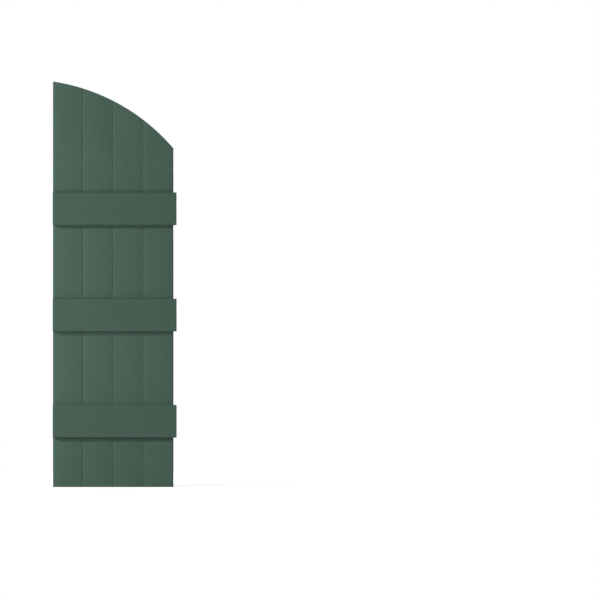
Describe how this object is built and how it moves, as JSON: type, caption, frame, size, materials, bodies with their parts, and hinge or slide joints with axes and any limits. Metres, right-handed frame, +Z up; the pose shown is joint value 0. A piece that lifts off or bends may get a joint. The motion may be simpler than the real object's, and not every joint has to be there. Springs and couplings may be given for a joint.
{
  "type": "board and batten shutter",
  "caption": "Fixed exterior shutter of tongued and grooved green boards with an arched top, crossed by battens that overhang the inner edge.",
  "frame": {"origin": "on the plane of the wall, half way across the overall width, at the height of the foot", "axes": "+Z up the boards, +Y out of the back into the wall so that the front faces -Y, +X from the straight outer edge to the inner edge"},
  "size_m": [0.3556, 0.0254, 1.165],
  "materials": {
    "green_board": "satin",
    "green_batten": "satin",
    "zinc_screw": "satin"
  },
  "bodies": {
    "root": {"outer_board": "green_board", "outer_middle_board": "green_board", "inner_middle_board": "green_board", "inner_board": "green_board", "bottom_batten": "green_batten", "middle_batten": "green_batten", "top_batten": "green_batten", "bottom_batten_screws": "zinc_screw", "middle_batten_screws": "zinc_screw", "top_batten_screws": "zinc_screw"}
  },
  "joints": []
}
